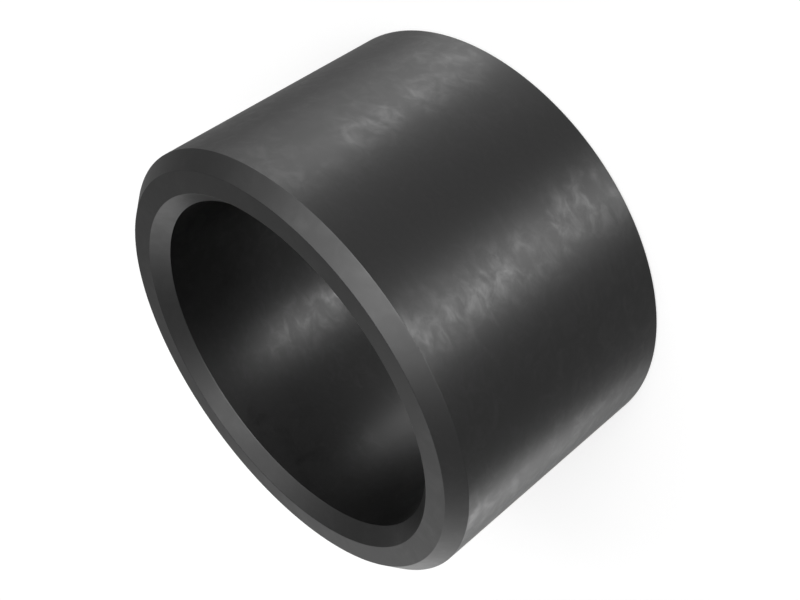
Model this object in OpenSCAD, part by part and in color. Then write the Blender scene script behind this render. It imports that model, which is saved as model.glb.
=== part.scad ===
// Plain bushing: one turned steel ring that is pressed into a housing and carries a shaft.
// Millimetres, +Z up. The ring stands on its plain end, with its axis on Z and its
// bottom face at z = 0. The end with the lead-in chamfer is at the top.

/* [Ring] */
// Outside diameter, the seat that goes into the housing
outer_d = 63.5; // [58:0.1:120]
// Inside diameter, the bore that the shaft runs in
bore_d = 49.2; // [20:0.1:54]
// Length from end face to end face
length = 38.1; // [12:0.1:120]

/* [Edges] */
// Lead-in chamfer on the outside of the top end, along the radius and along the axis
lead_chamfer = 2; // [0.4:0.1:4]
// Chamfer at each mouth of the bore, along the radius and along the axis
bore_chamfer = 2; // [0.4:0.1:4]
// Edge break on the outside of the bottom end, just enough to take off the burr
edge_break = 0.3; // [0.1:0.1:1]

/* [Hidden] */
$fn = 180;

outer_r = outer_d / 2;
bore_r = bore_d / 2;

// Half of the ring's section, as (radius, height) points that go once around the wall
function ring_section() = [
    // bottom end face, from the bore outwards
    [bore_r + bore_chamfer, 0],
    [outer_r - edge_break, 0],
    // outside wall, from the edge break up to the lead-in chamfer
    [outer_r, edge_break],
    [outer_r, length - lead_chamfer],
    // top end face, from the lead-in chamfer inwards
    [outer_r - lead_chamfer, length],
    [bore_r + bore_chamfer, length],
    // bore wall, down between its two chamfered mouths
    [bore_r, length - bore_chamfer],
    [bore_r, bore_chamfer],
];

// The ring is turned from one piece of bar, so it is one revolved section
module bushing() {
    color([0.29, 0.29, 0.29])
        rotate_extrude()
            polygon(ring_section());
}

bushing();
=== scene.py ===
"""A plain bushing: one turned steel ring with a blackened finish, standing on its plain end.

Everything is in metres, in the frame of the solid: the ring's axis is Z, it stands on z = 0, and the
end with the lead-in chamfer is at the top. Angles are in degrees. Directions around the ring are given
as an azimuth, 0 on the camera's side (-Y) and 90 on the side of +X, and an elevation above the floor.
"""
import math

import bpy
import numpy as np
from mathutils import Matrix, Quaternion, Vector


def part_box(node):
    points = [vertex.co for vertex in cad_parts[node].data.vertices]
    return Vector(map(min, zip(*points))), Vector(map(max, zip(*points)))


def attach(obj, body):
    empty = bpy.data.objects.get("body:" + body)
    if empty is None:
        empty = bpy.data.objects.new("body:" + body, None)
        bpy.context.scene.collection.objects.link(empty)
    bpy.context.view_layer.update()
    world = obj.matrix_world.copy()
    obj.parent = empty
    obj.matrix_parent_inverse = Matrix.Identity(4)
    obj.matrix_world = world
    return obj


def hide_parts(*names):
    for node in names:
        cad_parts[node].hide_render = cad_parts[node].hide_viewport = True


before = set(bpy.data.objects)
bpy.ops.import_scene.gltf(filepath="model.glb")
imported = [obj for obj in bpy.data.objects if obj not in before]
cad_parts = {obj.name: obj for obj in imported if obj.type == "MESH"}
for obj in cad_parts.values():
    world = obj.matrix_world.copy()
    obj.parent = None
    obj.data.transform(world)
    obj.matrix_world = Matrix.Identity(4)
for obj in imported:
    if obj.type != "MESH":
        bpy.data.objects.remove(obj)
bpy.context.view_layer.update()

MM = 0.001

# The photograph's view
PHOTO_WIDTH_PX = 800
FOCAL_LENGTH_PX = 1286
SENSOR_WIDTH_MM = 36
CAMERA_DISTANCE = 175.8 * MM
CAMERA_ELEVATION = 29.28
CAMERA_ROLL = 125.3
AIM_OFF_MIDDLE = Vector((-0.95, -1.08, -1.86)) * MM
NEAREST_SEEN = 1 * MM
FARTHEST_SEEN = 100

# The ring's section, from the far corner of the solid's box and the sizes that the box doesn't give
BOX_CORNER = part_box("bushing")[1]
OUTER_RADIUS = BOX_CORNER.x
LENGTH = BOX_CORNER.z
BORE_RADIUS = 24.6 * MM
LEAD_CHAMFER = 2.0 * MM
BORE_CHAMFER = 2.0 * MM
EDGE_BREAK = 0.3 * MM
CORNER_RADIUS = 0.08 * MM
HOLDING_STEP = 0.05 * MM
ARC_STEPS = 4
TURN_STEPS = 288

# Blackened steel, with smoother and slightly paler smudges in loose clusters, fainter on the ends
STEEL_SHADE = 0.071
STEEL_ROUGHNESS = 0.38
SMUDGE_SHADE = 0.101
SMUDGE_ROUGHNESS = 0.27
SMUDGE_FLATNESS = 1.35
SMUDGES = {"per_mm": 0.38, "detail": 3.5, "grit": 0.62, "warp": 0.6, "edge": (0.36, 0.90), "seed": 1278}
CLUSTERS = {"per_mm": 0.08, "detail": 1, "grit": 0.5, "warp": 0, "edge": (0.22, 0.50), "seed": 5120}
END_SMUDGE_SHARE = 0.5

# The studio: an even level, and round soft lamps as (azimuth, elevation, angular radius, strength)
SURROUND_LEVEL = 0.288
SOFT_LAMPS = (
    (2, 35, 42, 4.0),
    (62, 18, 48, 1.0),
    (63, 52, 10, 2.3),
    (80, -4, 11, 5.4),
    (93, -29, 25, 0.8),
    (77, -33, 8, 4.0),
    (86, -64, 36, 1.4),
    (-29, 2, 10, 6.3),
    (-23, -28, 9, 5.6),
    (-17, -38, 13, 3.5),
    (-124, -26, 11, 2.2),
    (-143, 10, 45, 0.9),
)

# The white that the camera sees. The floor's is partly glow and partly lit paint, so that the ring's
# shadow on it stays light
WHITE_LEVEL = 1
FLOOR_SIDE = 20.0
FLOOR_DROP = 0.02 * MM
FLOOR_GLOW = 0.6
FLOOR_ALBEDO = 0.45


def direction(azimuth, elevation):
    """The unit vector that points from the ring to that azimuth and elevation."""
    around = math.radians(azimuth)
    above = math.radians(elevation)
    return Vector((
        math.sin(around) * math.cos(above),
        -math.cos(around) * math.cos(above),
        math.sin(above),
    ))


def place_camera():
    """Looks from the photograph's side, rolled so that the ring's top points to the lower left."""
    middle = Vector((0, 0, LENGTH / 2))
    position = middle + CAMERA_DISTANCE * direction(0, CAMERA_ELEVATION)
    forward = middle + AIM_OFF_MIDDLE - position
    lens = bpy.data.cameras.new("photo_camera")
    lens.sensor_width = SENSOR_WIDTH_MM
    lens.lens = FOCAL_LENGTH_PX / PHOTO_WIDTH_PX * SENSOR_WIDTH_MM
    lens.clip_start = NEAREST_SEEN
    lens.clip_end = FARTHEST_SEEN
    camera = bpy.data.objects.new("photo_camera", lens)
    camera.location = position
    camera.rotation_mode = "QUATERNION"
    level = forward.to_track_quat("-Z", "Y")
    camera.rotation_quaternion = level @ Quaternion((0, 0, 1), -math.radians(CAMERA_ROLL))
    bpy.context.scene.collection.objects.link(camera)
    bpy.context.scene.camera = camera


def ring_corners():
    """The section's corners as (radius, height), once around the wall with the steel on the left."""
    return np.array([
        (BORE_RADIUS + BORE_CHAMFER, 0),
        (OUTER_RADIUS - EDGE_BREAK, 0),
        (OUTER_RADIUS, EDGE_BREAK),
        (OUTER_RADIUS, LENGTH - LEAD_CHAMFER),
        (OUTER_RADIUS - LEAD_CHAMFER, LENGTH),
        (BORE_RADIUS + BORE_CHAMFER, LENGTH),
        (BORE_RADIUS, LENGTH - BORE_CHAMFER),
        (BORE_RADIUS, BORE_CHAMFER),
    ])


def rounded_section(corners):
    """The closed section with each corner rounded off.

    Each corner is replaced by an arc that touches both of its sides, one radius times tan(half the turn)
    away from the corner. A holding point on either side of it keeps the shading of the sides flat.
    """
    points = []
    for before, corner, after in zip(np.roll(corners, 1, axis=0), corners, np.roll(corners, -1, axis=0)):
        way_in = (corner - before) / np.linalg.norm(corner - before)
        way_out = (after - corner) / np.linalg.norm(after - corner)
        turn = math.acos(np.clip(way_in @ way_out, -1, 1))
        reach = CORNER_RADIUS * math.tan(turn / 2)
        side = np.array((-way_in[1], way_in[0]))
        centre = corner - reach * way_in + CORNER_RADIUS * side
        angles = np.linspace(0, turn, ARC_STEPS + 1)[:, None]
        arc = centre + CORNER_RADIUS * (np.sin(angles) * way_in - np.cos(angles) * side)
        points.append(corner - (reach + HOLDING_STEP) * way_in)
        points.extend(arc)
        points.append(corner + (reach + HOLDING_STEP) * way_out)
    return np.array(points)


def revolved_mesh(name, section):
    """Carries the closed section once around Z.

    A point of the section at radius r and height z goes to (r cos a, r sin a, z) for each angle a. The UV
    map holds the share of the turn, and the distance along the section in millimetres. The attribute
    "smudge_share" is 1 on the outer wall and on the bore's, and less on the ends and their edges.
    """
    count = len(section)
    angles = np.linspace(0, 2 * math.pi, TURN_STEPS, endpoint=False)
    radius, height = section[:, 0], section[:, 1]
    grid = np.stack([
        np.outer(np.cos(angles), radius),
        np.outer(np.sin(angles), radius),
        np.broadcast_to(height, (TURN_STEPS, count)),
    ], axis=-1)
    turn, along = np.meshgrid(np.arange(TURN_STEPS), np.arange(count), indexing="ij")
    next_turn = (turn + 1) % TURN_STEPS
    next_along = (along + 1) % count
    faces = np.stack([
        turn * count + along,
        next_turn * count + along,
        next_turn * count + next_along,
        turn * count + next_along,
    ], axis=-1).reshape(-1, 4)

    mesh = bpy.data.meshes.new(name)
    mesh.from_pydata(grid.reshape(-1, 3), [], faces)

    steps = np.linalg.norm(np.roll(section, -1, axis=0) - section, axis=1)
    run = np.concatenate([[0], np.cumsum(steps)]) / MM
    u = np.stack([turn, turn + 1, turn + 1, turn], axis=-1) / TURN_STEPS
    v = np.stack([run[along], run[along], run[along + 1], run[along + 1]], axis=-1)
    uv_map = mesh.uv_layers.new(name="turn_and_run")
    uv_map.uv.foreach_set("vector", np.stack([u, v], axis=-1).ravel())

    on_wall = np.isclose(radius, OUTER_RADIUS) | np.isclose(radius, BORE_RADIUS)
    share = np.where(on_wall, 1, END_SMUDGE_SHARE)
    smudge_share = mesh.attributes.new("smudge_share", "FLOAT", "POINT")
    smudge_share.data.foreach_set("value", np.tile(share, TURN_STEPS))
    mesh.shade_smooth()
    return mesh


def cloudy_patches(nodes, links, place, per_mm, detail, grit, warp, edge, seed):
    """A mask that is 1 inside cloudy patches and 0 between them, its edge between two noise levels."""
    noise = nodes.new("ShaderNodeTexNoise")
    noise.noise_dimensions = "4D"
    noise.inputs["W"].default_value = seed
    noise.inputs["Scale"].default_value = per_mm
    noise.inputs["Detail"].default_value = detail
    noise.inputs["Roughness"].default_value = grit
    noise.inputs["Distortion"].default_value = warp
    step = nodes.new("ShaderNodeMapRange")
    step.interpolation_type = "SMOOTHSTEP"
    step.inputs["From Min"].default_value = edge[0]
    step.inputs["From Max"].default_value = edge[1]
    links.new(place, noise.inputs["Vector"])
    links.new(noise.outputs["Fac"], step.inputs["Value"])
    return step.outputs["Result"]


def product(nodes, links, first, second):
    """The product of two shader outputs."""
    times = nodes.new("ShaderNodeMath")
    times.operation = "MULTIPLY"
    links.new(first, times.inputs[0])
    links.new(second, times.inputs[1])
    return times.outputs["Value"]


def blackened_steel():
    """The finish of the whole ring: a dark satin, which the smudges make smoother in places."""
    material = bpy.data.materials.new("blackened_steel")
    material.use_nodes = True
    nodes, links = material.node_tree.nodes, material.node_tree.links
    shader = nodes["Principled BSDF"]
    shader.inputs["Metallic"].default_value = 1

    in_mm = nodes.new("ShaderNodeMapping")
    in_mm.inputs["Scale"].default_value = (1 / MM, 1 / MM, SMUDGE_FLATNESS / MM)
    links.new(nodes.new("ShaderNodeTexCoord").outputs["Object"], in_mm.inputs["Vector"])
    place = in_mm.outputs["Vector"]
    share = nodes.new("ShaderNodeAttribute")
    share.attribute_name = "smudge_share"
    smudges = cloudy_patches(nodes, links, place, **SMUDGES)
    clusters = cloudy_patches(nodes, links, place, **CLUSTERS)
    smudged = product(nodes, links, product(nodes, links, smudges, clusters), share.outputs["Fac"])
    for socket, steel, smudge in (
        ("Base Color", STEEL_SHADE, SMUDGE_SHADE),
        ("Roughness", STEEL_ROUGHNESS, SMUDGE_ROUGHNESS),
    ):
        blend = nodes.new("ShaderNodeMapRange")
        blend.inputs["To Min"].default_value = steel
        blend.inputs["To Max"].default_value = smudge
        links.new(smudged, blend.inputs["Value"])
        links.new(blend.outputs["Result"], shader.inputs[socket])
    return material


def make_bushing():
    mesh = revolved_mesh("turned_ring", rounded_section(ring_corners()))
    mesh.materials.append(blackened_steel())
    ring = bpy.data.objects.new("turned_ring", mesh)
    bpy.context.scene.collection.objects.link(ring)
    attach(ring, "root")
    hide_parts("bushing")


def soft_lamp_group():
    """A node group that gives one round soft lamp's light in a direction of the world.

    It is nothing outside the lamp's rim and rises smoothly to the full strength at the lamp's middle.
    """
    group = bpy.data.node_groups.new("soft_lamp", "ShaderNodeTree")
    group.interface.new_socket("Look", in_out="INPUT", socket_type="NodeSocketVector")
    group.interface.new_socket("Towards", in_out="INPUT", socket_type="NodeSocketVector")
    group.interface.new_socket("Rim Cosine", in_out="INPUT", socket_type="NodeSocketFloat")
    group.interface.new_socket("Strength", in_out="INPUT", socket_type="NodeSocketFloat")
    group.interface.new_socket("Light", in_out="OUTPUT", socket_type="NodeSocketFloat")
    nodes, links = group.nodes, group.links
    inputs = nodes.new("NodeGroupInput")
    outputs = nodes.new("NodeGroupOutput")
    nearness = nodes.new("ShaderNodeVectorMath")
    nearness.operation = "DOT_PRODUCT"
    fall_off = nodes.new("ShaderNodeMapRange")
    fall_off.interpolation_type = "SMOOTHSTEP"
    fall_off.inputs["From Max"].default_value = 1
    fall_off.inputs["To Min"].default_value = 0
    links.new(inputs.outputs["Look"], nearness.inputs[0])
    links.new(inputs.outputs["Towards"], nearness.inputs[1])
    links.new(nearness.outputs["Value"], fall_off.inputs["Value"])
    links.new(inputs.outputs["Rim Cosine"], fall_off.inputs["From Min"])
    links.new(inputs.outputs["Strength"], fall_off.inputs["To Max"])
    links.new(fall_off.outputs["Result"], outputs.inputs["Light"])
    return group


def light_studio():
    """The world: plain white for the camera, and the even level with the soft lamps for everything else.

    The steel mirrors the lamps and the level, and not the white, in which its dark bands would turn pale.
    """
    world = bpy.data.worlds.new("studio")
    bpy.context.scene.world = world
    world.use_nodes = True
    nodes, links = world.node_tree.nodes, world.node_tree.links
    look = nodes.new("ShaderNodeTexCoord").outputs["Generated"]
    group = soft_lamp_group()
    level = nodes.new("ShaderNodeValue")
    level.outputs["Value"].default_value = SURROUND_LEVEL
    light = level.outputs["Value"]
    for azimuth, elevation, angular_radius, strength in SOFT_LAMPS:
        lamp = nodes.new("ShaderNodeGroup")
        lamp.node_tree = group
        lamp.inputs["Towards"].default_value = direction(azimuth, elevation)
        lamp.inputs["Rim Cosine"].default_value = math.cos(math.radians(angular_radius))
        lamp.inputs["Strength"].default_value = strength
        total = nodes.new("ShaderNodeMath")
        total.operation = "ADD"
        links.new(look, lamp.inputs["Look"])
        links.new(light, total.inputs[0])
        links.new(lamp.outputs["Light"], total.inputs[1])
        light = total.outputs["Value"]
    seen = nodes.new("ShaderNodeMix")
    seen.data_type = "FLOAT"
    seen.inputs["B"].default_value = WHITE_LEVEL
    links.new(nodes.new("ShaderNodeLightPath").outputs["Is Camera Ray"], seen.inputs["Factor"])
    links.new(light, seen.inputs["A"])
    links.new(seen.outputs["Result"], nodes["Background"].inputs["Color"])


def floor_material():
    """White with the ring's soft shadow for a camera above it, and clear from below and for other rays.

    The lamps under it shine on the ring and show in it, as on a light table.
    """
    material = bpy.data.materials.new("pale_floor")
    material.use_nodes = True
    nodes, links = material.node_tree.nodes, material.node_tree.links
    nodes.remove(nodes["Principled BSDF"])
    glow = nodes.new("ShaderNodeEmission")
    glow.inputs["Strength"].default_value = FLOOR_GLOW
    matt = nodes.new("ShaderNodeBsdfDiffuse")
    matt.inputs["Color"].default_value = (FLOOR_ALBEDO, FLOOR_ALBEDO, FLOOR_ALBEDO, 1)
    white = nodes.new("ShaderNodeAddShader")
    links.new(glow.outputs["Emission"], white.inputs[0])
    links.new(matt.outputs["BSDF"], white.inputs[1])
    seen_from_above = nodes.new("ShaderNodeMath")
    seen_from_above.operation = "SUBTRACT"
    seen_from_above.use_clamp = True
    links.new(nodes.new("ShaderNodeLightPath").outputs["Is Camera Ray"], seen_from_above.inputs[0])
    links.new(nodes.new("ShaderNodeNewGeometry").outputs["Backfacing"], seen_from_above.inputs[1])
    seen = nodes.new("ShaderNodeMixShader")
    links.new(seen_from_above.outputs["Value"], seen.inputs["Fac"])
    links.new(nodes.new("ShaderNodeBsdfTransparent").outputs["BSDF"], seen.inputs[1])
    links.new(white.outputs["Shader"], seen.inputs[2])
    links.new(seen.outputs["Shader"], nodes["Material Output"].inputs["Surface"])
    return material


def lay_floor():
    half = FLOOR_SIDE / 2
    around = ((-half, -half), (half, -half), (half, half), (-half, half))
    corners = [(x, y, -FLOOR_DROP) for x, y in around]
    mesh = bpy.data.meshes.new("floor")
    mesh.from_pydata(corners, [], [(0, 1, 2, 3)])
    mesh.materials.append(floor_material())
    floor = bpy.data.objects.new("floor", mesh)
    bpy.context.scene.collection.objects.link(floor)


bpy.context.scene.view_settings.view_transform = "Standard"
place_camera()
make_bushing()
light_studio()
lay_floor()
